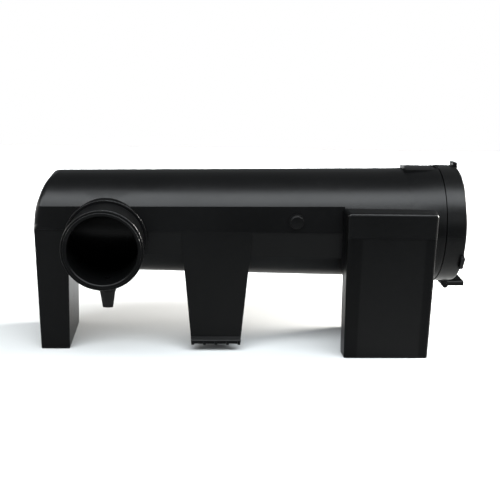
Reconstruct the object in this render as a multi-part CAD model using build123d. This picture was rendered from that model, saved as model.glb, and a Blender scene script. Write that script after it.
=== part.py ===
from build123d import *
import os

# Horizontal dry air cleaner housing with its service cover and two nested filter elements.
# Everything is modelled about the canister's axis: X along it towards the service cover,
# -Y towards the side with the inlet port, Z up. The whole is moved onto its base at the end.

# --- canister ---
axis_height = 148.4
wall = 3.0
body_radius = 64.4
body_taper = 0.0179
end_apex_x = -252.5
end_bow_radius = 115.0
end_half_height = 61.5
end_shoulder_radius = 25.0
end_shoulder_run = 33.0
end_round = 8.0
flare_start_x = 192.5
mouth_x = 233.9
mouth_radius = 71.8
mouth_bore_radius = 67.6
mouth_bore_depth = 22.0

# --- flat front panel, drafted both ways from the mould's parting line at z = 0 ---
panel_front = 60.4
panel_taper = 0.015
panel_draft = 0.1185
panel_end_x = 113.5
ridge_height = 0.55
ridge_half_width = 0.4

# --- inlet port and its drain ---
port_x, port_z = -167.9, -11.7
port_front = 108.25
port_bore_radius = 40.1
port_radius = 44.45
port_root_radius = 45.6
port_bead_radius = 47.2
port_bead_front = 1.6
port_bead_width = 4.0
port_bead_round = 1.3
port_bevel = 0.9
port_collar_radius = 49.0
port_collar_front = 62.5
port_bore_end, port_throat_radius = -56.0, 42.0
port_inner_end = -20.0
drain_x, drain_y = -164.8, -78.0
drain_spout_radius = 6.0
drain_bore_radius = 4.0
drain_spout_end = -66.0
valve_radius = 9.7
valve_top, valve_lip = -60.5, -87.6
valve_lip_width = 12.0

# --- outlet leg: a rectangular duct down from the clean-air end ---
leg_left, leg_right = -251.7, -211.7
leg_front, leg_back = -57.0, 43.0
leg_lean_left, leg_lean_right, leg_lean_depth = 4.1, 1.8, 1.0
leg_corner_radius = 1.8
shoulder_height, shoulder_inset, shoulder_corner_radius = 13.0, 2.4, 8.5

# --- middle leg: a plate in line with the panel, with a ribbed foot lip ---
plate_left, plate_right = -80.1, 5.1
plate_foot_left, plate_foot_right = -66.4, -7.1
plate_height = 139.5
plate_thick = 3.5
lip_reach, lip_height, lip_slope = 5.5, 8.9, 3.4
lip_round = 1.8
pocket_count = 4
pocket_rib = 3.4
pocket_depth = 3.9
pocket_height = 4.5

# --- resonator box ---
box_left, box_right = 110.9, 224.8
box_front_left, box_front_right = 113.6, 220.2
box_root_foot_left, box_root_foot_right = 115.6, 219.2
box_foot_left, box_foot_right = 116.9, 218.8
box_front, box_root = -86.4, -57.0
box_top = 30.0
box_step, box_step_top = -65.0, -45.0
box_corner_radius, box_front_round = 4.5, 3.6
box_rear = 25.0
box_rear_left, box_rear_right = 133.0, 212.0
box_rear_top = -45.0
base_thick = 4.0
neck_x, neck_radius = 165.0, 10.0
insert_x = (140.0, 190.0)
insert_y = -20.0
insert_radius, insert_hole_radius = 5.5, 3.4
insert_length = 12.0
insert_boss_radius = 9.0

# --- blanking plug on the panel ---
plug_x, plug_z = 56.7, 13.2
plug_boss_radius, plug_boss_front = 9.5, -61.2
plug_hole_radius = 5.0
plug_head_radius = 8.0

# --- service cover and its lock ---
cover_edge_x, cover_end_x = 234.9, 259.3
cover_end_round = 2.8
cover_step_back, cover_step = 4.6, 0.4
cover_radius = 72.3
cover_dish_radius = 55.0
spigot_start_x = 214.0
spigot_radius, spigot_inner_radius = 67.2, 63.2
seal_x, seal_radius, seal_section = 224.0, 66.05, 1.5
lug_count = 3
lug_turn = -3.0
lug_start_x, lug_end_x = 254.0, 259.6
lug_radius, lug_half_width = 77.1, 8.5
rib_count = 8
cheek_inner, cheek_outer = 6.0, 9.5
lock_half_width = 5.8
lock_end_x = 279.8
lock_top, lock_bottom = -75.3, -81.9
lock_travel = 9.0

# --- inside: outlet partition, inlet shield and the two elements ---
partition_x = -212.0
partition_thick = 3.0
stub_radius, stub_bore_radius, stub_length = 29.5, 26.5, 22.0
shield_inner_radius, shield_outer_radius = 47.6, 49.1
shield_end_x = -110.0
element_start_x, element_end_x = -204.0, 232.0
primary_radius, primary_bore_radius = 46.0, 30.6
cap_radius = 47.0
cap_length = 18.0
safety_start_x, safety_end_x = -206.0, 213.0
safety_radius, safety_bore_radius = 24.6, 18.6
liner = 0.8
gap = 0.1

far = 400.0


def radius_at(x):
    """Outer radius of the tapered canister."""
    return body_radius + body_taper * x


def panel_at(x):
    """Distance of the panel's parting line in front of the axis."""
    return panel_front + panel_taper * x


def block(x_range, y_range, z_range):
    """Box between two limits on each axis."""
    size = [high - low for low, high in (x_range, y_range, z_range)]
    middle = [(high + low) / 2 for low, high in (x_range, y_range, z_range)]
    return Pos(*middle) * Box(*size)


def turned(outline):
    """Solid of revolution about the X axis from (x, radius) points."""
    return revolve(Plane.XY * make_face(Polyline(*outline, close=True)), Axis.X)


def tube(x_start, x_end, outer, inner):
    """Tube along X."""
    return turned([(x_start, inner), (x_start, outer), (x_end, outer), (x_end, inner)])


def rod(x_start, x_end, radius):
    """Solid disc or rod along X."""
    return turned([(x_start, 0), (x_start, radius), (x_end, radius), (x_end, 0)])


def rod_y(x, z, y_start, y_end, radius):
    """Cylinder along Y."""
    return Pos(x, (y_start + y_end) / 2, z) * Rot(90, 0, 0) * Cylinder(radius, abs(y_end - y_start))


def rod_z(x, y, z_start, z_end, radius):
    """Cylinder along Z."""
    return Pos(x, y, (z_start + z_end) / 2) * Cylinder(radius, abs(z_end - z_start))


def side_plate(outline, y_start, y_end):
    """Plate across Y from an outline of (x, z) points."""
    plane = Plane(origin=(0, y_start, 0), x_dir=(1, 0, 0), z_dir=(0, -1, 0))
    return extrude(plane * make_face(Polyline(*outline, close=True)), y_start - y_end)


def level_face(x_range, y_range, z):
    """Rectangle at a level, for a loft."""
    corners = [(x, y, z) for x, y in ((x_range[0], y_range[0]), (x_range[1], y_range[0]),
                                      (x_range[1], y_range[1]), (x_range[0], y_range[1]))]
    return make_face(Polyline(*corners, close=True))


def upright_face(y, top_left, top_right, top, foot_left, foot_right, foot):
    """Four-sided face across Y, for a loft."""
    corners = [(top_left, y, top), (top_right, y, top), (foot_right, y, foot), (foot_left, y, foot)]
    return make_face(Polyline(*corners, close=True))


def parting_ridge(x_start, x_end, front_start, front_end):
    """Fine mould line along the front at the axis' height."""
    inner = 0.6
    low, high = -ridge_half_width, ridge_half_width
    ends = []
    for x, front in ((x_start, front_start), (x_end, front_end)):
        out, back = -front - ridge_height, -front + inner
        corners = [(x, out, low), (x, out, high), (x, back, high), (x, back, low)]
        ends.append(make_face(Polyline(*corners, close=True)))
    return loft(ends)


def panel_plane():
    """Plane of the parting line and the middle leg, facing forwards."""
    return Plane(origin=(0, -panel_front, 0), x_dir=(1, -panel_taper, 0), z_dir=(-panel_taper, -1, 0))


def in_front_of_panel(inset):
    """The space in front of the flat panel, moved back by inset."""
    top = 90.0
    start = end_apex_x - 20
    front = panel_at(start) - inset
    edge = -front + panel_draft * top
    section = Polyline((-front, 0), (edge, top), (-far, top), (-far, -top), (edge, -top), close=True)
    plane = Plane(origin=(start, 0, 0), x_dir=(0, 1, 0), z_dir=(1, 0, 0))
    return extrude(plane * make_face(section), panel_end_x - start, dir=(1, -panel_taper, 0))


def end_limit(inset):
    """Everything to the right of the bowed left end, which curls over at its top and bottom."""
    centre = Pos(end_apex_x + end_bow_radius, 0)
    radius = end_bow_radius - inset
    bow = centre * Circle(radius) & centre * Rectangle(2 * radius, 2 * (end_half_height - inset))
    bow = fillet(bow.vertices().group_by(Axis.X)[0], end_shoulder_radius - inset)
    bowed = extrude(Plane.XZ * bow, far / 2, both=True)
    return bowed + block((end_apex_x + end_shoulder_run, mouth_x + 50), (-far / 2, far / 2), (-100, 100))


def canister_outside():
    """Tapered canister with its flat panel, bowed end and flared mouth."""
    start = end_apex_x - 20
    body = turned([(start, 0), (start, radius_at(start)), (flare_start_x, radius_at(flare_start_x)),
                   (mouth_x - 3, mouth_radius), (mouth_x, mouth_radius), (mouth_x, 0)])
    body = (body & end_limit(0)) - in_front_of_panel(0)
    rim = body.edges().filter_by(lambda e: e.center().X < end_apex_x + 30)
    return body.fillet(end_round, rim.filter_by(Axis.Y, reverse=True))


def canister_inside(inset):
    """The canister's hollow, at a distance inside its outer surface."""
    start = end_apex_x - 20
    body = turned([(start, 0), (start, radius_at(start) - inset),
                   (flare_start_x, radius_at(flare_start_x) - inset),
                   (mouth_x - mouth_bore_depth, mouth_bore_radius), (mouth_x + 1, mouth_bore_radius),
                   (mouth_x + 1, 0)])
    return (body & end_limit(inset)) - in_front_of_panel(inset)


def leg_duct(inset, top, foot):
    """Outlet leg: its outside, or its duct when inset by the wall."""
    def section(z):
        down = -z / axis_height
        x_range = (leg_left + leg_lean_left * down + inset, leg_right - leg_lean_right * down - inset)
        y_range = (leg_front + leg_lean_depth * down + inset, leg_back - leg_lean_depth * down - inset)
        return level_face(x_range, y_range, z)
    return loft([section(foot), section(top)])


def leg_shoulder(leg_top):
    """The leg's square corners fading into the rounder end just above the parting line."""
    middle = Pos((leg_left + leg_right) / 2, (leg_front + leg_back) / 2, shoulder_height)
    width, depth = leg_right - leg_left, leg_back - leg_front
    upper = middle * RectangleRounded(width - 2 * shoulder_inset, depth - 2 * shoulder_inset,
                                      shoulder_corner_radius)
    return loft([leg_top, upper.face()])


def resonator(inset, foot):
    """Resonator box: shallow in front of the panel, narrower and deeper underneath."""
    root = upright_face(box_root - inset, box_left + inset, box_right - inset, box_top - inset,
                        box_root_foot_left + inset, box_root_foot_right - inset, foot)
    front = upright_face(box_front + inset, box_front_left + inset, box_front_right - inset, box_top - inset,
                         box_foot_left + inset, box_foot_right - inset, foot)
    shallow = loft([root, front])
    shallow -= block((0, far), (box_step - inset, 0), (foot - 1, box_step_top + inset))
    outline = Polyline((box_foot_left + 2 + inset, box_step - 5), (box_foot_right - inset, box_step - 5),
                       (box_rear_right - inset, box_rear - inset), (box_rear_left + inset, box_rear - inset),
                       close=True)
    deep = Pos(0, 0, foot) * extrude(make_face(outline), box_rear_top - inset - foot)
    return shallow, deep


def middle_leg():
    """Plate leg with its foot lip, the lip's pockets and two gussets behind it."""
    outline = Polyline((plate_left, 0), (plate_right, 0), (plate_foot_right, -plate_height),
                       (plate_foot_left, -plate_height), close=True)
    face = panel_plane() * make_face(outline)
    plate = extrude(face, -plate_thick)
    lip_top = lip_height - plate_height
    front = -panel_front
    wedge = Polyline((front, lip_top), (front - lip_reach, lip_top - lip_slope),
                     (front - lip_reach, -plate_height), (front + 3, -plate_height), (front + 3, lip_top), close=True)
    wedge = make_face(wedge)
    brow = wedge.vertices().group_by(Axis.X)[0].sort_by(Axis.Y)[-1]
    wedge = fillet([brow], lip_round)
    across = Plane(origin=(plate_left, 0, 0), x_dir=(0, 1, 0), z_dir=(1, 0, 0))
    wedge = extrude(across * wedge, plate_right - plate_left)
    leg = plate + (extrude(face, 2 * lip_reach) & wedge)
    foot_width = plate_foot_right - plate_foot_left
    pocket = (foot_width - (pocket_count + 1) * pocket_rib) / pocket_count
    for i in range(pocket_count):
        left = plate_foot_left + pocket_rib + i * (pocket + pocket_rib)
        leg -= block((left, left + pocket), (-far, front - lip_reach + pocket_depth),
                     (-plate_height - 1, pocket_height - plate_height))
    gusset = [(front + 2, -20), (front + 2, 5 - plate_height), (front + 10, 5 - plate_height), (front + 25, -48)]
    for x in (plate_foot_left + 4, plate_foot_right - 7):
        plane = Plane(origin=(x, 0, 0), x_dir=(0, 1, 0), z_dir=(1, 0, 0))
        leg += extrude(plane * make_face(Polyline(*gusset, close=True)), wall)
    return leg


def inlet_port():
    """Port tube with its end bead and the raised collar round its root."""
    bead_front = port_bead_front - port_front
    bead_back = bead_front + port_bead_width
    outline = Polyline((0, -port_front), (port_radius, -port_front), (port_radius, bead_front),
                       (port_bead_radius, bead_front), (port_bead_radius, bead_back), (port_radius, bead_back),
                       (port_root_radius, -port_collar_front), (port_collar_radius, -port_collar_front),
                       (port_collar_radius, port_inner_end), (0, port_inner_end), close=True)
    port = revolve(make_face(outline), Axis.Y)
    rims = port.edges().filter_by(GeomType.CIRCLE)
    bead = rims.filter_by(lambda e: abs(e.radius - port_bead_radius) < 0.1)
    port = port.fillet(port_bead_round, bead)
    rims = port.edges().filter_by(GeomType.CIRCLE)
    collar = rims.filter_by(lambda e: abs(e.radius - port_collar_radius) < 0.1).sort_by(Axis.Y)[0]
    port = port.fillet(port_bevel, [collar, rims.sort_by(Axis.Y)[0]])
    port = Pos(port_x, 0, port_z) * port
    return port + rod_z(drain_x, drain_y, drain_spout_end, -40, drain_spout_radius)


def port_bore():
    """Bore of the inlet port, with its bevelled mouth and a wider throat into the canister."""
    outline = Polyline((0, -port_front - 1), (port_bore_radius + port_bevel + 1, -port_front - 1),
                       (port_bore_radius, port_bevel - port_front), (port_bore_radius, port_bore_end),
                       (port_throat_radius, port_bore_end), (port_throat_radius, port_inner_end + 2),
                       (0, port_inner_end + 2), close=True)
    return Pos(port_x, 0, port_z) * revolve(make_face(outline), Axis.Y)


def top_pad():
    """Raised pad on top beside the mouth, with its index slot."""
    pad = rod(flare_start_x + 0.2, mouth_x - 2, mouth_radius - 0.2)
    return pad & block((flare_start_x - 1, mouth_x), (-17.2, 17.2), (0, 100))


def housing():
    """The moulded canister with port, legs and resonator box in one piece."""
    body = canister_outside()
    shallow, deep = resonator(0, -axis_height)
    corners = shallow.edges().filter_by(lambda e: e.center().Z > box_top - 1 and e.length < box_root - box_front + 3)
    shallow = shallow.fillet(box_corner_radius, corners)
    soft = shallow.edges().filter_by(lambda e: e.center().Y < box_front + 1 and e.center().Z > 1 - axis_height)
    shallow = shallow.fillet(box_front_round, soft)
    leg = leg_duct(0, 0, -axis_height)
    upright = leg.edges().filter_by(lambda e: abs(e.center().Z + axis_height / 2) < 5)
    leg = leg.fillet(leg_corner_radius, upright)
    leg += leg_shoulder(leg.faces().sort_by(Axis.Z)[-1])
    solid = body + leg + shallow + deep + inlet_port() + top_pad()
    solid += rod_y(plug_x, plug_z, plug_boss_front, -50, plug_boss_radius)
    for start, end in ((end_apex_x + 4, plate_left), (plate_right, box_left + 1)):
        solid += parting_ridge(start, end, panel_at(start), panel_at(end))
    solid += parting_ridge(box_front_left + 3, box_front_right - 3, -box_front, -box_front)
    solid += parting_ridge(box_right, mouth_x - 3, 70.9, mouth_radius)
    for side in (-1, 1):
        near, away = sorted((side * 4.4, side * 7.0))
        solid += block((222.0, mouth_x), (near, away), (-mouth_radius - 1.6, -68.5))
    solid -= canister_inside(wall)
    solid -= leg_duct(wall, -15, -axis_height - 1)
    hollow_front, hollow_deep = resonator(wall, -axis_height - 1)
    solid -= (hollow_front + hollow_deep) - body
    solid += middle_leg() - canister_inside(wall)
    solid -= rod_y(neck_x, 0, -75, -50, neck_radius)
    solid -= port_bore()
    solid -= rod_z(drain_x, drain_y, drain_spout_end - 1, -45, drain_bore_radius)
    solid -= rod_y(plug_x, plug_z, -70, -50, plug_hole_radius)
    solid -= block((226.5, 232.5), (-12, 12), (mouth_radius - 2, 80))
    return solid


def resonator_base():
    """Welded bottom plate of the resonator box, with bosses for the threaded inserts."""
    front, deep = resonator(wall + gap, -axis_height)
    plate = (front + deep) & block((0, 300), (-100, 100), (-axis_height, base_thick - axis_height))
    for x in insert_x:
        plate += rod_z(x, insert_y, base_thick - axis_height - 1, insert_length + 3 - axis_height, insert_boss_radius)
        plate -= rod_z(x, insert_y, -axis_height - 1, insert_length - axis_height, insert_radius)
    return plate


def mount_inserts():
    """Threaded brass inserts in the resonator's base."""
    inserts = []
    for x in insert_x:
        insert = rod_z(x, insert_y, 0.2 - axis_height, insert_length - axis_height, insert_radius)
        inserts.append(insert - rod_z(x, insert_y, -axis_height - 1, 0, insert_hole_radius))
    return Compound(children=inserts)


def outlet_partition():
    """Wall between the dirty and clean chambers, with the stub that both elements seal on."""
    wall_disc = canister_inside(wall + gap)
    wall_disc &= block((partition_x, partition_x + partition_thick), (-100, 100), (-100, 100))
    stub = tube(partition_x, partition_x + partition_thick + stub_length, stub_radius, stub_bore_radius)
    return wall_disc + stub - rod(partition_x - 1, 0, stub_bore_radius)


def inlet_shield():
    """Sleeve that keeps the incoming air off the element, with a stepped window patch."""
    start = partition_x + partition_thick
    sleeve = tube(start, shield_end_x, shield_outer_radius, shield_inner_radius)
    patch = tube(-145, shield_end_x - 5, shield_outer_radius + 2.2, shield_inner_radius + 0.5)
    patch &= block((-150, 0), (-80, 0), (-30, 30))
    return sleeve + patch


def drain_valve():
    """Rubber duckbill valve pushed over the drain spout."""
    waist = drain_spout_end - 1
    collar = rod_z(drain_x, drain_y, valve_top, waist, valve_radius)
    round_top = Pos(drain_x, drain_y, waist) * Circle(valve_radius - 0.5)
    flat_lip = Pos(drain_x, drain_y, valve_lip) * Ellipse(valve_lip_width / 2, 2.3)
    bill = loft([round_top.face(), flat_lip.face()])
    hollow_top = Pos(drain_x, drain_y, waist) * Circle(drain_spout_radius)
    hollow_lip = Pos(drain_x, drain_y, valve_lip) * Ellipse(valve_lip_width / 2 - 1.6, 0.7)
    hollow = loft([hollow_top.face(), hollow_lip.face()])
    return collar + bill - hollow - rod_z(drain_x, drain_y, valve_top + 1, waist, drain_spout_radius + gap / 2)


def plug_washer():
    """Rubber washer under the plug's head."""
    ring = rod_y(plug_x, plug_z, plug_boss_front - 1, plug_boss_front, plug_head_radius + 0.5)
    return ring - rod_y(plug_x, plug_z, -80, -40, plug_hole_radius)


def blanking_plug():
    """Low-domed plug that closes the indicator port."""
    seat = plug_boss_front - 1
    head = rod_y(plug_x, plug_z, seat - 2.4, seat, plug_head_radius)
    outer_edge = head.edges().sort_by(Axis.Y)[0]
    head = head.fillet(1.6, [outer_edge])
    return head + rod_y(plug_x, plug_z, seat, -52, plug_hole_radius - gap / 2)


def cover():
    """Service cover: skirt, spigot, dished end, grip lugs and the lock's guide."""
    end, dish = cover_end_x, cover_end_x - 3.2
    shell = turned([(spigot_start_x, spigot_inner_radius), (spigot_start_x, spigot_radius),
                    (end - 4, spigot_radius), (end - 4, cover_radius - wall), (cover_edge_x, cover_radius - wall),
                    (cover_edge_x, cover_radius), (end - cover_step_back, cover_radius),
                    (end - cover_step_back, cover_radius - cover_step), (end, cover_radius - cover_step),
                    (end, cover_dish_radius + 3),
                    (dish, cover_dish_radius), (dish, 0), (dish - wall, 0), (dish - wall, cover_dish_radius + 1),
                    (end - wall, cover_dish_radius + 4), (end - wall, spigot_inner_radius)])
    rim = shell.edges().filter_by(GeomType.CIRCLE).filter_by(lambda e: abs(e.radius - cover_radius + cover_step) < 0.1)
    shell = shell.fillet(cover_end_round, [rim.sort_by(Axis.X)[-1]])
    shell -= tube(seal_x - 1.8, seal_x + 1.8, spigot_radius + 1, seal_radius - seal_section - 0.05)
    shell += tube(element_end_x + 0.4, dish - wall, 43.0, 40.0)
    shell += tube(dish - 1, end - 0.6, 18.0, 15.0)
    for i in range(rib_count):
        turn = Rot(360 / rib_count * i + 22.5, 0, 0)
        shell += turn * block((dish - 1, end - 1.0), (-1.25, 1.25), (17, cover_dish_radius + 1.5))
        shell += turn * block((dish - wall - 8, dish - wall + 0.5), (-1.25, 1.25), (42.5, spigot_inner_radius + 0.5))
    for i in range(lug_count):
        lug = block((lug_start_x, lug_end_x), (-lug_half_width, lug_half_width), (cover_radius - 3.4, lug_radius))
        lug = lug.fillet(1.2, lug.edges().filter_by(lambda e: e.center().Z > cover_radius - 2))
        shell += Rot(360 / lug_count * i + lug_turn, 0, 0) * lug
    cheek = [(241.5, -70.0), (257.5, -70.0), (257.5, -81.0), (254.9, -83.0), (252.5, -82.1), (246.8, -73.4)]
    guide = side_plate(cheek, -cheek_outer, cheek_outer) + rod_y(254.9, -79.6, -10.2, 10.2, 3.4)
    tunnel = block((230, 270), (-cheek_inner, cheek_inner), (lock_bottom - 0.15, -60))
    shell += (guide - tunnel) - rod(230, cover_end_x - 1, cover_radius - 1)
    shell += parting_ridge(cover_edge_x + 0.3, cover_end_x - 4, cover_radius, cover_radius)
    return shell


def cover_seal():
    """O-ring on the cover's spigot."""
    section = Pos(seal_x, seal_radius) * Circle(seal_section)
    return revolve(section, Axis.X)


def lock_slider():
    """Sliding lock under the cover: nose, round-edged bar and a thumb web."""
    bar = side_plate([(247.5, lock_top), (253.0, lock_bottom), (lock_end_x, lock_bottom), (lock_end_x, lock_top)],
                     -lock_half_width, lock_half_width)
    long_edges = bar.edges().filter_by(Axis.X).filter_by(lambda e: abs(e.center().Y) > 1)
    bar = bar.fillet(2.2, long_edges)
    nose = block((226.5, 251.0), (-4.0, 4.0), (-74.6, -73.0)) + block((247.5, 251.0), (-4.0, 4.0), (-77.0, -73.0))
    web = side_plate([(260.7, -76.5), (lock_end_x - 0.3, -76.5), (lock_end_x - 0.3, lock_top), (260.7, -55.8)],
                     -1.6, 1.6)
    return bar + nose + web


def primary_media():
    """Pleated paper of the primary element."""
    return tube(element_start_x + 3, element_end_x - 3, primary_radius - liner - gap,
                primary_bore_radius + liner + gap)


def primary_outer_liner():
    """Expanded metal guard round the paper."""
    return tube(element_start_x + cap_length, element_end_x - 10, primary_radius, primary_radius - liner)


def primary_inner_liner():
    """Perforated tube inside the paper."""
    return tube(element_start_x + cap_length, element_end_x - 10, primary_bore_radius + liner, primary_bore_radius)


def primary_open_cap():
    """Soft moulded cap that seals radially on the outlet stub."""
    start, end = element_start_x, element_start_x + cap_length
    cap = turned([(start, stub_radius + 1.6), (start, cap_radius), (end, cap_radius), (end, stub_radius + gap / 2),
                  (start + 4, stub_radius + gap / 2)])
    return cap - primary_media()


def primary_closed_cap():
    """Moulded cap that closes the far end of the primary element."""
    start, end = element_end_x - 10, element_end_x
    cap = turned([(end - 4, 0), (end - 4, primary_bore_radius - 2), (start, primary_bore_radius - 2),
                  (start, cap_radius), (end - 1.5, cap_radius), (end, cap_radius - 1.5), (end, 0)])
    return cap - primary_media()


def safety_media():
    """Paper or fleece of the safety element."""
    return tube(safety_start_x + 14, safety_end_x - 7, safety_radius, safety_bore_radius + liner + gap)


def safety_core():
    """Perforated tube inside the safety element."""
    return tube(safety_start_x + 14, safety_end_x - 7, safety_bore_radius + liner, safety_bore_radius)


def safety_open_cap():
    """Soft cap that seals inside the outlet stub."""
    start, end = safety_start_x, safety_start_x + 14
    seal = stub_bore_radius - gap / 2
    return turned([(start, safety_bore_radius), (start, seal - 1.5), (start + 3, seal), (end, seal),
                   (end, safety_bore_radius)])


def safety_closed_cap():
    """Closed cap of the safety element with a pull tab."""
    start, end = safety_end_x - 7, safety_end_x
    tab = block((end - 1, end + 9), (-1.5, 1.5), (-12, 12))
    return rod(start, end, safety_radius + 0.4) + tab


pieces = {
    "housing": housing(),
    "resonator_base": resonator_base(),
    "mount_inserts": mount_inserts(),
    "outlet_partition": outlet_partition(),
    "inlet_shield": inlet_shield(),
    "drain_valve": drain_valve(),
    "blanking_plug": blanking_plug(),
    "plug_washer": plug_washer(),
    "cover": cover(),
    "cover_seal": cover_seal(),
    "lock_slider": lock_slider(),
    "primary_media": primary_media(),
    "primary_outer_liner": primary_outer_liner(),
    "primary_inner_liner": primary_inner_liner(),
    "primary_open_cap": primary_open_cap(),
    "primary_closed_cap": primary_closed_cap(),
    "safety_media": safety_media(),
    "safety_core": safety_core(),
    "safety_open_cap": safety_open_cap(),
    "safety_closed_cap": safety_closed_cap(),
}

# The origin is the middle of the whole object's box, at the level that it stands on.
whole = Compound(children=[piece.moved(Location()) for piece in pieces.values()]).bounding_box()
to_base = Location((-whole.center().X, -whole.center().Y, axis_height))
os.makedirs("parts", exist_ok=True)
for name, piece in pieces.items():
    export_step(piece.moved(to_base), f"parts/{name}.step")
print("moved by", to_base.position)
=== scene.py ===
import math

import bpy
from mathutils import Matrix, Vector


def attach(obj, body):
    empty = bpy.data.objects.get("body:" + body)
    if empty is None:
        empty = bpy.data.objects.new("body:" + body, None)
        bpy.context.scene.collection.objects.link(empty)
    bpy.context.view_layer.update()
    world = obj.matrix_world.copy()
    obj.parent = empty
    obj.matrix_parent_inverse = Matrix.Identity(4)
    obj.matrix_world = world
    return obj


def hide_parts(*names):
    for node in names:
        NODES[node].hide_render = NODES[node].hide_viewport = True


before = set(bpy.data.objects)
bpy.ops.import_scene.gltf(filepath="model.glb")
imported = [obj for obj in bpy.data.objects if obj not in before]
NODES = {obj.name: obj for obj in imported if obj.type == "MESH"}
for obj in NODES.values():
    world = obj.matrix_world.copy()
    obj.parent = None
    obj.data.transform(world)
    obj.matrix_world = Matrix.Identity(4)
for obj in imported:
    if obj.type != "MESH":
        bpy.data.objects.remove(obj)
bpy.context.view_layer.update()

scene = bpy.context.scene

# Axis coordinates of the part (X along the canister, Z = 0 at its axis) moved onto its base, in metres.
SHIFT = Vector((-0.01365, 0.017975, 0.1484))


def at_axis(x, y, z):
    """Point given in millimetres about the canister's axis."""
    return Vector((x, y, z)) / 1000 + SHIFT


# Where the resonator box's face sinks in over the ribs behind it, in millimetres about the axis.
sink_left, sink_right, sink_top, sink_front = 132.0, 207.0, -0.5, -84.25


# ---------------------------------------------------------------- materials
class Mat:
    """A procedural material built step by step."""

    def __init__(self, name):
        self.m = bpy.data.materials.new(name)
        self.m.use_nodes = True
        self.t = self.m.node_tree
        self.b = self.t.nodes["Principled BSDF"]
        self.coord = self.t.nodes.new("ShaderNodeTexCoord").outputs["Object"]

    def node(self, kind, **inputs):
        n = self.t.nodes.new(kind)
        for key, v in inputs.items():
            self.join(n.inputs[key.replace("_", " ")], v)
        return n

    def join(self, socket, v):
        if isinstance(v, (int, float)):
            socket.default_value = v
        elif isinstance(v, tuple):
            socket.default_value = (*v, 1.0) if len(v) == 3 and len(socket.default_value) == 4 else v
        else:
            self.t.links.new(v, socket)

    def set(self, key, value):
        self.join(self.b.inputs[key], value)

    def noise(self, scale, detail=3.0, rough=0.5, vector=None):
        n = self.node("ShaderNodeTexNoise", Scale=scale, Detail=detail, Roughness=rough)
        self.t.links.new(vector or self.coord, n.inputs["Vector"])
        return n.outputs["Fac"]

    def axes(self):
        n = self.t.nodes.new("ShaderNodeSeparateXYZ")
        self.t.links.new(self.coord, n.inputs[0])
        return n.outputs

    def stretched(self, x, y, z):
        """Object coordinates scaled along each axis; a small scale draws the grain out along it."""
        n = self.t.nodes.new("ShaderNodeMapping")
        self.t.links.new(self.coord, n.inputs["Vector"])
        n.inputs["Scale"].default_value = (x, y, z)
        return n.outputs[0]

    def remap(self, value, low, high, out_low=0.0, out_high=1.0, smooth=False):
        """Value between low and high brought to between out_low and out_high."""
        n = self.node("ShaderNodeMapRange", Value=value)
        if smooth:
            n.interpolation_type = "SMOOTHSTEP"
        for key, v in (("From Min", low), ("From Max", high), ("To Min", out_low), ("To Max", out_high)):
            n.inputs[key].default_value = v
        return n.outputs["Result"]

    def past(self, axis, at, soft):
        """0 below a place on an axis (0, 1, 2 for X, Y, Z), 1 above it, blended over soft mm each way."""
        place = SHIFT[axis] + at / 1000
        return self.remap(self.axes()[axis], place - soft / 1000, place + soft / 1000, smooth=True)

    def ramp(self, value, stops):
        n = self.t.nodes.new("ShaderNodeValToRGB")
        self.t.links.new(value, n.inputs["Fac"])
        el = n.color_ramp.elements
        while len(el) < len(stops):
            el.new(0.5)
        for e, (pos, col) in zip(el, stops):
            e.position = pos
            e.color = (*col, 1.0)
        return n.outputs["Color"]

    def blend(self, share, first, second):
        """First colour where share is 0, second where it is 1."""
        n = self.t.nodes.new("ShaderNodeMixRGB")
        for key, v in (("Fac", share), ("Color1", first), ("Color2", second)):
            self.join(n.inputs[key], v)
        return n.outputs[0]

    def math(self, op, a, b=None):
        n = self.t.nodes.new("ShaderNodeMath")
        n.operation = op
        for socket, v in zip(n.inputs, (a, b)):
            if v is not None:
                self.join(socket, v)
        return n.outputs[0]

    def bump(self, height, strength, distance, normal=None):
        n = self.node("ShaderNodeBump", Height=height, Strength=strength, Distance=distance)
        if normal is not None:
            self.t.links.new(normal, n.inputs["Normal"])
        return n.outputs["Normal"]


def grey(v, tint=(1, 1, 1)):
    """Linear grey, warmed or cooled by a tint."""
    return tuple(v * c for c in tint)


def black_plastic(name, tone=0.0008, rough=0.32, specular=0.075, sinks=False):
    """Satin moulded polypropylene: spark-eroded grain, slow flow waves, faint handling dust."""
    k = Mat(name)
    tint = (0.95, 1.0, 1.05)
    flow = k.noise(9.0, 2.0)
    dust = k.noise(140.0, 6.0, 0.62)
    mix = k.math("ADD", k.math("MULTIPLY", flow, 0.6), k.math("MULTIPLY", dust, 0.4))
    colour = k.ramp(mix, [(0.32, grey(tone * 0.8, tint)), (0.72, grey(tone * 1.25, tint))])
    specks = k.remap(k.noise(900.0, 2.0, 0.7), 0.735, 0.78, 0.0, 0.05)
    k.set("Base Color", k.blend(specks, colour, (0.32, 0.31, 0.29)))
    k.set("Roughness", k.math("ADD", k.remap(flow, 0.3, 0.7, rough - 0.025, rough + 0.03),
                              k.remap(dust, 0.55, 0.8, 0.0, 0.07)))
    level = specular
    if sinks:
        # Sink marks over the inner ribs: the box's front face is duller outside its middle field.
        left_of_right = k.math("SUBTRACT", 1.0, k.past(0, sink_right, 1.5))
        inside = k.math("MULTIPLY", k.past(0, sink_left, 1.5), left_of_right)
        face = k.math("MULTIPLY", k.math("SUBTRACT", 1.0, k.past(2, sink_top, 1.0)),
                      k.math("SUBTRACT", 1.0, k.past(1, sink_front, 0.75)))
        outside = k.math("MULTIPLY", k.math("SUBTRACT", 1.0, inside), face)
        level = k.remap(outside, 0.0, 1.0, specular, specular * 0.62)
    k.set("Specular IOR Level", level)
    waves = k.bump(k.noise(38.0, 2.0), 0.10, 0.0006)
    k.set("Normal", k.bump(k.noise(2600.0, 2.0, 0.55), 0.35, 0.00004, waves))
    return k.m


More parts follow.
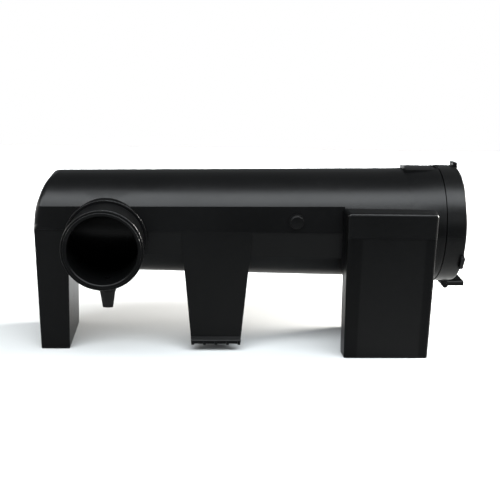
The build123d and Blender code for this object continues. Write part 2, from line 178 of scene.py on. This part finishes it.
def rubber(name, tone=0.0025, rough=0.6):
    """Matt moulded rubber with bloom and fine grain."""
    k = Mat(name)
    bloom = k.noise(70.0, 5.0, 0.6)
    k.set("Base Color", k.ramp(bloom, [(0.3, grey(tone)), (0.75, grey(tone * 2.1, (1, 0.98, 0.96)))]))
    k.set("Roughness", k.remap(bloom, 0.3, 0.7, rough - 0.08, rough + 0.08))
    k.set("Specular IOR Level", 0.1)
    k.set("Normal", k.bump(k.noise(1500.0, 3.0), 0.4, 0.00006))
    return k.m


def urethane(name, tone=0.02):
    """Soft foamed urethane cap: satin skin with pinholes."""
    k = Mat(name)
    cloud = k.noise(45.0, 4.0, 0.6)
    cells = k.node("ShaderNodeTexVoronoi", Vector=k.coord, Scale=520.0)
    pits = k.remap(cells.outputs["Distance"], 0.08, 0.2)
    warm = (1, 0.98, 0.95)
    k.set("Base Color", k.ramp(cloud, [(0.3, grey(tone, warm)), (0.7, grey(tone * 1.7, warm))]))
    k.set("Roughness", k.remap(cloud, 0.3, 0.7, 0.48, 0.62))
    k.set("Specular IOR Level", 0.3)
    k.set("Normal", k.bump(pits, 0.3, 0.0001, k.bump(cloud, 0.15, 0.0006)))
    return k.m


def paper(name):
    """Resin-treated filter paper with fibres and small printed-in dimples."""
    k = Mat(name)
    fibre = k.noise(900.0, 6.0, 0.7, k.stretched(0.15, 1.0, 1.0))
    tone = k.noise(25.0, 3.0)
    mix = k.math("ADD", k.math("MULTIPLY", fibre, 0.5), k.math("MULTIPLY", tone, 0.5))
    k.set("Base Color", k.ramp(mix, [(0.35, (0.26, 0.185, 0.09)), (0.65, (0.40, 0.31, 0.17))]))
    k.set("Roughness", 0.85)
    k.set("Specular IOR Level", 0.15)
    dimple = k.node("ShaderNodeTexVoronoi", Vector=k.coord, Scale=260.0)
    k.set("Normal", k.bump(dimple.outputs["Distance"], 0.35, 0.0003, k.bump(fibre, 0.4, 0.0001)))
    return k.m


def fleece(name):
    """Needled white fleece: tangled fibres and needle pits."""
    k = Mat(name)
    fibre = k.noise(700.0, 8.0, 0.75)
    pits = k.node("ShaderNodeTexVoronoi", Vector=k.coord, Scale=420.0)
    k.set("Base Color", k.ramp(fibre, [(0.35, (0.60, 0.59, 0.54)), (0.65, (0.80, 0.79, 0.74))]))
    k.set("Roughness", 0.95)
    k.set("Specular IOR Level", 0.1)
    k.set("Normal", k.bump(pits.outputs["Distance"], 0.5, 0.0004, k.bump(fibre, 0.6, 0.0003)))
    return k.m


def zinc(name, holes=False):
    """Galvanised steel: spangle, rolling lines, and, for the inner tubes, rows of punched holes drawn as
    near-black dots: painted shade where each hole would show the dark inside.
    """
    k = Mat(name)
    spangle = k.node("ShaderNodeTexVoronoi", Vector=k.coord, Scale=150.0)
    lines = k.noise(300.0, 3.0, 0.6, k.stretched(0.08, 1.0, 1.0))
    grain = k.math("MULTIPLY", spangle.outputs["Distance"], 0.5)
    tone = k.math("ADD", grain, k.math("MULTIPLY", lines, 0.5))
    colour = k.ramp(tone, [(0.25, (0.20, 0.205, 0.21)), (0.65, (0.36, 0.365, 0.37))])
    k.set("Metallic", 1.0)
    k.set("Roughness", k.remap(lines, 0.3, 0.7, 0.3, 0.48))
    if holes:
        x, y, z = k.axes()
        turn = k.math("ARCTAN2", k.math("SUBTRACT", z, SHIFT.z), k.math("SUBTRACT", y, SHIFT.y))
        across = k.math("SINE", k.math("MULTIPLY", turn, 24.0))
        along = k.math("SINE", k.math("MULTIPLY", x, 2 * math.pi / 0.008))
        # The holes are not cut. Each dot is painted near-black and not metallic, as painted shade for the
        # dark inside seen through a hole, and a bump sinks its edge.
        shade_painted_holes = k.remap(k.math("MULTIPLY", across, along), 0.30, 0.40)
        colour = k.blend(shade_painted_holes, colour, (0.02, 0.018, 0.015))
        k.set("Metallic", k.math("SUBTRACT", 1.0, shade_painted_holes))
        k.set("Normal", k.bump(shade_painted_holes, -0.6, 0.0006))
    k.set("Base Color", colour)
    return k.m


def brass(name):
    """Turned brass: fine rings from the tool and a slightly dulled surface."""
    k = Mat(name)
    dull = k.noise(220.0, 4.0, 0.6)
    k.set("Base Color", k.ramp(dull, [(0.3, (0.52, 0.36, 0.13)), (0.7, (0.78, 0.60, 0.27))]))
    k.set("Metallic", 1.0)
    k.set("Roughness", k.remap(dull, 0.3, 0.7, 0.22, 0.42))
    rings = k.noise(2200.0, 1.0, 0.5, k.stretched(0.02, 0.02, 1.0))
    k.set("Normal", k.bump(rings, 0.3, 0.00006))
    return k.m


def dress(material, *names):
    for name in names:
        node = NODES[name]
        node.data.materials.clear()
        node.data.materials.append(material)


# ---------------------------------------------------------------- meshes
def add_mesh(name, verts, faces, material, smooth=False):
    mesh = bpy.data.meshes.new(name)
    mesh.from_pydata([tuple(v) for v in verts], [], faces)
    mesh.update()
    mesh.materials.append(material)
    if smooth:
        mesh.polygons.foreach_set("use_smooth", [True] * len(mesh.polygons))
    o = bpy.data.objects.new(name, mesh)
    scene.collection.objects.link(o)
    return o


def pleat_pack(name, start, end, inner, outer, count, thick, material):
    """Pleated ring: one folded sheet with rounded tips, closed at both ends."""
    path = []
    valley, crest = inner + thick, outer - thick
    for i in range(count):
        for share, reach in ((0.0, valley), (0.18, valley), (0.5, crest), (0.68, crest)):
            a = 2 * math.pi * (i + share) / count
            path.append(Vector((math.cos(a) * reach, math.sin(a) * reach)))
    n = len(path)
    rims = ([], [])
    for i, p in enumerate(path):
        ahead = (path[(i + 1) % n] - p).normalized()
        behind = (p - path[i - 1]).normalized()
        along = (ahead + behind).normalized()
        side = Vector((-along.y, along.x)) * (thick / 2 / max(0.35, along.dot(ahead)))
        rims[0].append(p - side)
        rims[1].append(p + side)
    verts = [at_axis(x, *q) for x in (start, end) for rim in rims for q in rim]
    faces = []
    for i in range(n):
        j = (i + 1) % n
        faces.append((i, j, 2 * n + j, 2 * n + i))
        faces.append((n + j, n + i, 3 * n + i, 3 * n + j))
        faces.append((j, i, n + i, n + j))
        faces.append((2 * n + i, 2 * n + j, 3 * n + j, 3 * n + i))
    return add_mesh(name, verts, faces, material)


def expanded_tube(name, start, end, radius, around, pitch, thick, material):
    """Guard of expanded metal: a tube of slanted diamonds made into strands."""
    rows = round((end - start) / (pitch / 2))
    verts = []
    for r in range(rows + 1):
        x = start + (end - start) * r / rows
        for c in range(around):
            a = 2 * math.pi * (c + 0.5 * (r % 2)) / around
            verts.append(at_axis(x, math.cos(a) * radius, math.sin(a) * radius))
    faces = []
    for r in range(rows - 1):
        for c in range(around):
            right = (c + r % 2) % around
            left = (right - 1) % around
            below, middle, above = r * around, (r + 1) * around, (r + 2) * around
            faces.append((below + c, middle + left, above + c, middle + right))
    o = add_mesh(name, verts, faces, material)
    wires = o.modifiers.new("strands", "WIREFRAME")
    wires.thickness = thick / 1000
    wires.use_even_offset = False
    return o


def turned_about_y(name, outline, centre_x, centre_z, sides, material):
    """Closed solid turned about a line along Y, from (radius, y) points that start and end on the line."""
    verts, faces = [], []
    rings = outline[1:-1]
    for r, y in rings:
        for i in range(sides):
            a = 2 * math.pi * i / sides
            verts.append(at_axis(centre_x + r * math.cos(a), y, centre_z + r * math.sin(a)))
    for j in range(len(rings) - 1):
        for i in range(sides):
            n = (i + 1) % sides
            faces.append((j * sides + i, j * sides + n, (j + 1) * sides + n, (j + 1) * sides + i))
    for ring, pole in ((0, outline[0]), (len(rings) - 1, outline[-1])):
        verts.append(at_axis(centre_x, pole[1], centre_z))
        tip = len(verts) - 1
        for i in range(sides):
            n = (i + 1) % sides
            edge = (ring * sides + i, ring * sides + n)
            faces.append((tip, edge[1], edge[0]) if ring == 0 else (tip, edge[0], edge[1]))
    o = add_mesh(name, verts, faces, material, smooth=True)
    o.data.validate()
    return o


# ---------------------------------------------------------------- camera, floor, light
# The camera's lens, place and tilt were solved from the photo's proportions.
camera_data = bpy.data.cameras.new("camera")
camera_data.lens = 67.934
camera_data.sensor_width = 36.0
camera_data.clip_start, camera_data.clip_end = 0.05, 30.0
camera = bpy.data.objects.new("camera", camera_data)
scene.collection.objects.link(camera)
right = Vector((0.99809475, -0.05684326, 0.02399423))
up = Vector((-0.00821293, 0.26302578, 0.96475385))
forward = Vector((0.06115085, 0.96311281, -0.2620578))
turn = Matrix((right, up, -forward)).transposed().to_4x4()
camera.matrix_world = Matrix.Translation((-0.0800538, -1.12148376, 0.42050484)) @ turn
scene.camera = camera
scene.view_settings.view_transform = "Standard"
scene.view_settings.look = "None"

k = Mat("floor_paper")
paper_tint = (0.98, 1, 1)
k.set("Base Color", k.ramp(k.noise(3.0), [(0.3, grey(0.21, paper_tint)), (0.7, grey(0.225, paper_tint))]))
k.set("Roughness", 0.9)
k.set("Specular IOR Level", 0.1)
reach, near, back = 2.2, -0.75, 1.5
floor = add_mesh("floor", [(-reach, near, 0), (reach, near, 0), (reach, back, 0), (-reach, back, 0)],
                 [(0, 1, 2, 3)], k.m)

# The room: white where the camera sees past the floor, dim where the object reflects it.
world = bpy.data.worlds.new("studio")
world.use_nodes = True
tree = world.node_tree
room = tree.nodes["Background"]
room.inputs["Color"].default_value = (0.95, 0.98, 1.0, 1)
room.inputs["Strength"].default_value = 0.28
paper_white = tree.nodes.new("ShaderNodeBackground")
paper_white.inputs["Strength"].default_value = 1.0
paper_white.inputs["Color"].default_value = (1, 1, 1, 1)
seen = tree.nodes.new("ShaderNodeLightPath")
pick = tree.nodes.new("ShaderNodeMixShader")
tree.links.new(seen.outputs["Is Camera Ray"], pick.inputs["Fac"])
tree.links.new(room.outputs["Background"], pick.inputs[1])
tree.links.new(paper_white.outputs["Background"], pick.inputs[2])
tree.links.new(pick.outputs["Shader"], tree.nodes["World Output"].inputs["Surface"])
scene.world = world


def area(name, at, target, size, power, colour=(1, 1, 1), spread=180.0):
    """Rectangular soft light of so many watts, aimed at a target."""
    lamp = bpy.data.lights.new(name, "AREA")
    lamp.shape = "RECTANGLE"
    lamp.size, lamp.size_y = size
    lamp.energy = power
    lamp.color = colour
    lamp.spread = math.radians(spread)
    o = bpy.data.objects.new(name, lamp)
    scene.collection.objects.link(o)
    o.location = at
    o.rotation_euler = (Vector(target) - Vector(at)).to_track_quat("-Z", "Y").to_euler()


cool, warm = (0.93, 0.97, 1.0), (1.0, 0.97, 0.93)
area("key_softbox", (0.05, -0.70, 1.43), (0, 0, 0.17), (3.8, 0.76), 215, cool)
area("front_fill", (0.0, -1.75, 0.80), (0, 0, 0.17), (3.6, 0.5), 15, (0.95, 0.98, 1.0))
area("table_rear", (0.0, 2.0, 2.6), (0, 1.95, 0), (4.4, 1.2), 420, spread=50.0)
area("table_middle", (0.0, 0.62, 2.3), (0, 0.62, 0), (3.4, 0.45), 40, spread=16.0)
area("under_left", (-1.3, 0.22, 0.42), (-0.1, 0.14, 0.0), (0.6, 0.3), 3, warm, 70.0)
area("under_right", (1.3, 0.22, 0.42), (0.0, 0.12, 0.0), (0.6, 0.3), 40, warm, 70.0)
area("fill_left", (-1.5, -0.75, 0.75), (-0.25, 0, 0.15), (0.5, 0.9), 8)

# ---------------------------------------------------------------- dress the CAD nodes
dress(black_plastic("housing_plastic", sinks=True), "housing")
dress(black_plastic("moulded_plastic"), "cover", "lock_slider", "resonator_base", "outlet_partition",
      "inlet_shield")
dress(rubber("rubber_black"), "drain_valve", "plug_washer", "cover_seal")
dress(urethane("cap_urethane"), "primary_open_cap", "primary_closed_cap", "safety_open_cap",
      "safety_closed_cap")
dress(brass("insert_brass"), "mount_inserts")
dress(fleece("safety_fleece"), "safety_media")
dress(zinc("perforated_zinc", holes=True), "primary_inner_liner", "safety_core")

# The plug: a low dome with a rounded edge, its plain shank behind it.
plug_x, plug_z = 56.7, 13.2
seat, shank_end = -62.2, -52.0
head, shank = 8.0, 4.95
dome_rise, edge_width, edge_rise, edge_foot = 2.4, 1.6, 1.5, 0.75
dome = [(0.0, seat - dome_rise), (3.0, seat - dome_rise + 0.02), (5.4, seat - dome_rise + 0.15)]
dome += [(head - edge_width + edge_width * math.sin(a), seat - edge_foot - edge_rise * math.cos(a))
         for a in (math.radians(d) for d in range(0, 91, 15))]
dome += [(head, seat), (shank, seat), (shank, shank_end), (0.0, shank_end)]
plug = turned_about_y("plug", dome, plug_x, plug_z, 72, black_plastic("plug_plastic", rough=0.30))
edges = plug.modifiers.new("corners", "EDGE_SPLIT")
edges.split_angle = math.radians(40)
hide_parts("blanking_plug")
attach(plug, "housing")

pleats = pleat_pack("pleats", start=-200.9, end=228.9, inner=31.6, outer=45.0, count=84, thick=0.5,
                    material=paper("filter_paper"))
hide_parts("primary_media")
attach(pleats, "primary_element")
guard = expanded_tube("guard_mesh", start=-185.8, end=221.8, radius=45.55, around=40, pitch=11.0, thick=0.8,
                      material=zinc("guard_zinc"))
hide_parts("primary_outer_liner")
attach(guard, "primary_element")
